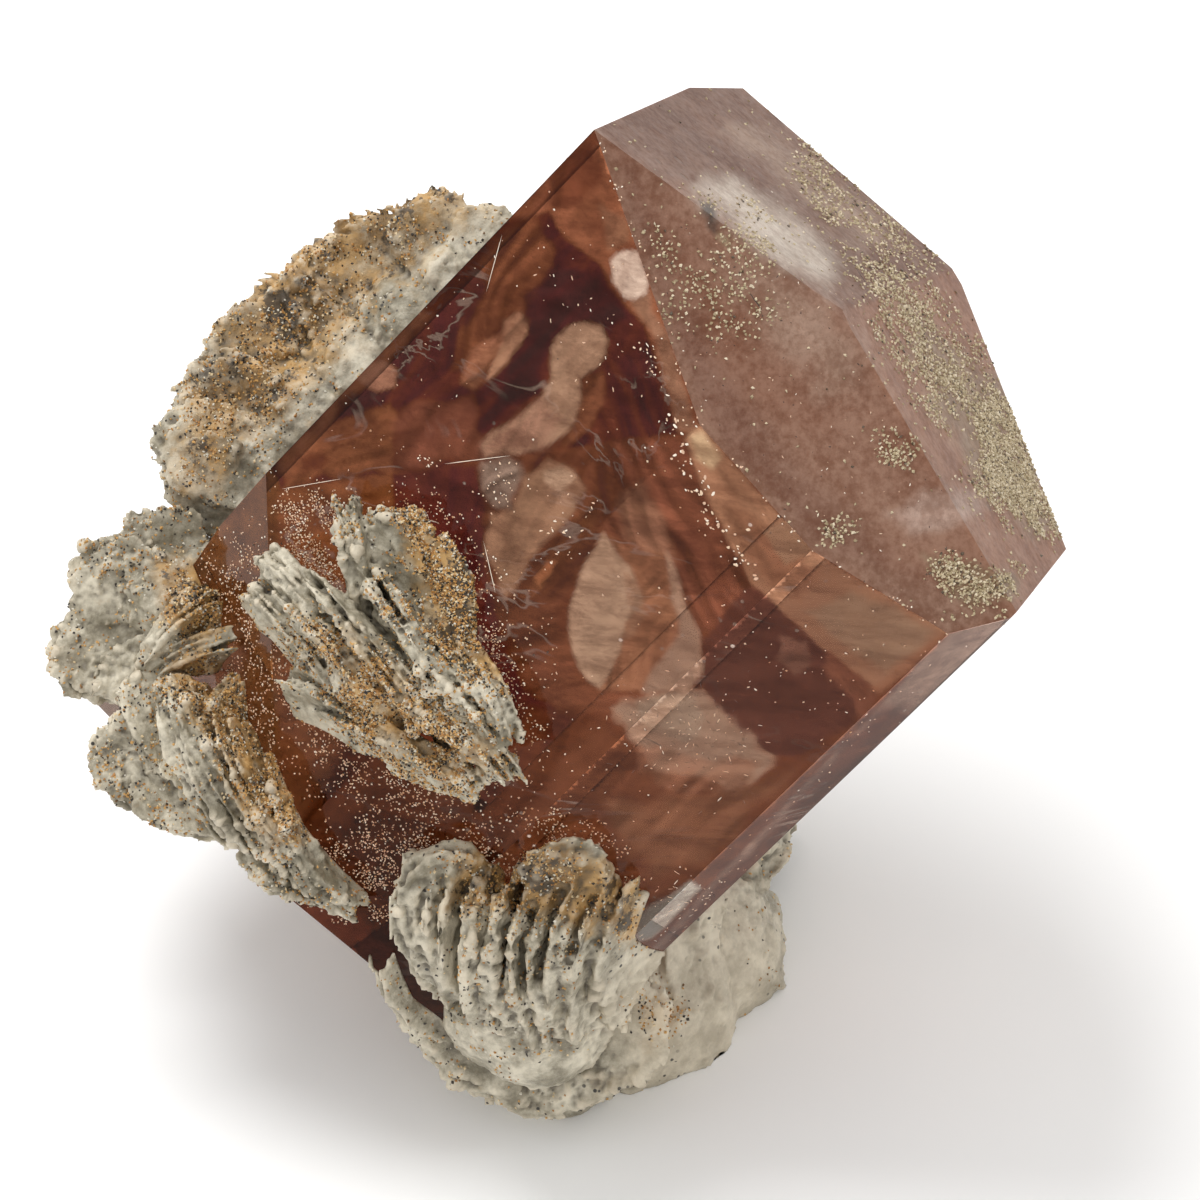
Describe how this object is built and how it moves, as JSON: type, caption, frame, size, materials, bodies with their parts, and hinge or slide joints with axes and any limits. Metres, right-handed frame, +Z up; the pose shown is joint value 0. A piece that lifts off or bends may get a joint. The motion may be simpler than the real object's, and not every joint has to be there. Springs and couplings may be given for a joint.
{
  "type": "topaz crystal",
  "caption": "Stubby sherry-brown topaz prism with sloping end faces, leaning on clusters of bladed white albite that it grew with.",
  "frame": {"origin": "middle of the bounding box's lowest face, on the surface that the specimen rests on", "axes": "+Z up; +X to the right in the picture, the way the crystal leans; -Y towards the viewer"},
  "size_m": [0.051, 0.038, 0.0569],
  "materials": {
    "topaz": "clear reddish brown, glassy on its side faces, etched and matt on its end faces",
    "albite": "sugary grey-white mineral blades, stained ochre in places"
  },
  "bodies": {
    "root": {"topaz_crystal": "topaz", "albite_front": "albite", "albite_left": "albite", "albite_lower_left": "albite", "albite_back": "albite", "albite_foot": "albite"}
  },
  "joints": []
}
